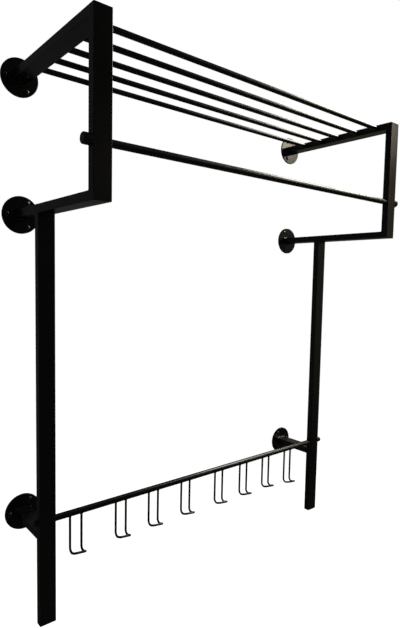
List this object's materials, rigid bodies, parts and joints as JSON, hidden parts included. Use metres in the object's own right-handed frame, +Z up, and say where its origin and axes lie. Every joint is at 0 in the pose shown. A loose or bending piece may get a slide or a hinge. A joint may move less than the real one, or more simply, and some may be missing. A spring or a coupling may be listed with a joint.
{
  "type": "wall coat rack",
  "caption": "Wall coat rack of black steel tube: hat shelf of round rods on top, hanger rail below it, and a low rail of bent wire hooks, on round wall flanges.",
  "frame": {"origin": "middle of the upper left wall flange's back face, on the wall plane", "axes": "+X to the right along the wall, +Y into the wall, +Z up"},
  "size_m": [0.827, 0.321, 1.0275],
  "materials": {
    "powder_coat": "satin black powder coat",
    "plastic": "matt black moulded",
    "zinc": "black zinc plated"
  },
  "bodies": {
    "root": {"left_top_arm": "powder_coat", "left_front_upright": "powder_coat", "left_lower_arm": "powder_coat", "left_lower_upright": "powder_coat", "left_standoff": "powder_coat", "left_end_plug": "plastic", "left_upper_flange": "powder_coat", "left_middle_flange": "powder_coat", "left_lower_flange": "powder_coat", "left_upper_screw_1": "zinc", "left_upper_screw_2": "zinc", "left_upper_screw_3": "zinc", "left_middle_screw_1": "zinc", "left_middle_screw_2": "zinc", "left_middle_screw_3": "zinc", "left_lower_screw_1": "zinc", "left_lower_screw_2": "zinc", "left_lower_screw_3": "zinc", "right_top_arm": "powder_coat", "right_front_upright": "powder_coat", "right_lower_arm": "powder_coat", "right_lower_upright": "powder_coat", "right_standoff": "powder_coat", "right_end_plug": "plastic", "right_upper_flange": "powder_coat", "right_middle_flange": "powder_coat", "right_lower_flange": "powder_coat", "right_upper_screw_1": "zinc", "right_upper_screw_2": "zinc", "right_upper_screw_3": "zinc", "right_middle_screw_1": "zinc", "right_middle_screw_2": "zinc", "right_middle_screw_3": "zinc", "right_lower_screw_1": "zinc", "right_lower_screw_2": "zinc", "right_lower_screw_3": "zinc", "shelf_rod_1": "powder_coat", "shelf_rod_2": "powder_coat", "shelf_rod_3": "powder_coat", "shelf_rod_4": "powder_coat", "shelf_rod_5": "powder_coat", "hanging_rail": "powder_coat", "hanging_rail_left_cap": "powder_coat", "hanging_rail_right_cap": "powder_coat", "hook_rail": "powder_coat", "hook_1": "powder_coat", "hook_2": "powder_coat", "hook_3": "powder_coat", "hook_4": "powder_coat", "hook_5": "powder_coat", "hook_6": "powder_coat", "hook_7": "powder_coat", "hook_8": "powder_coat"}
  },
  "joints": []
}
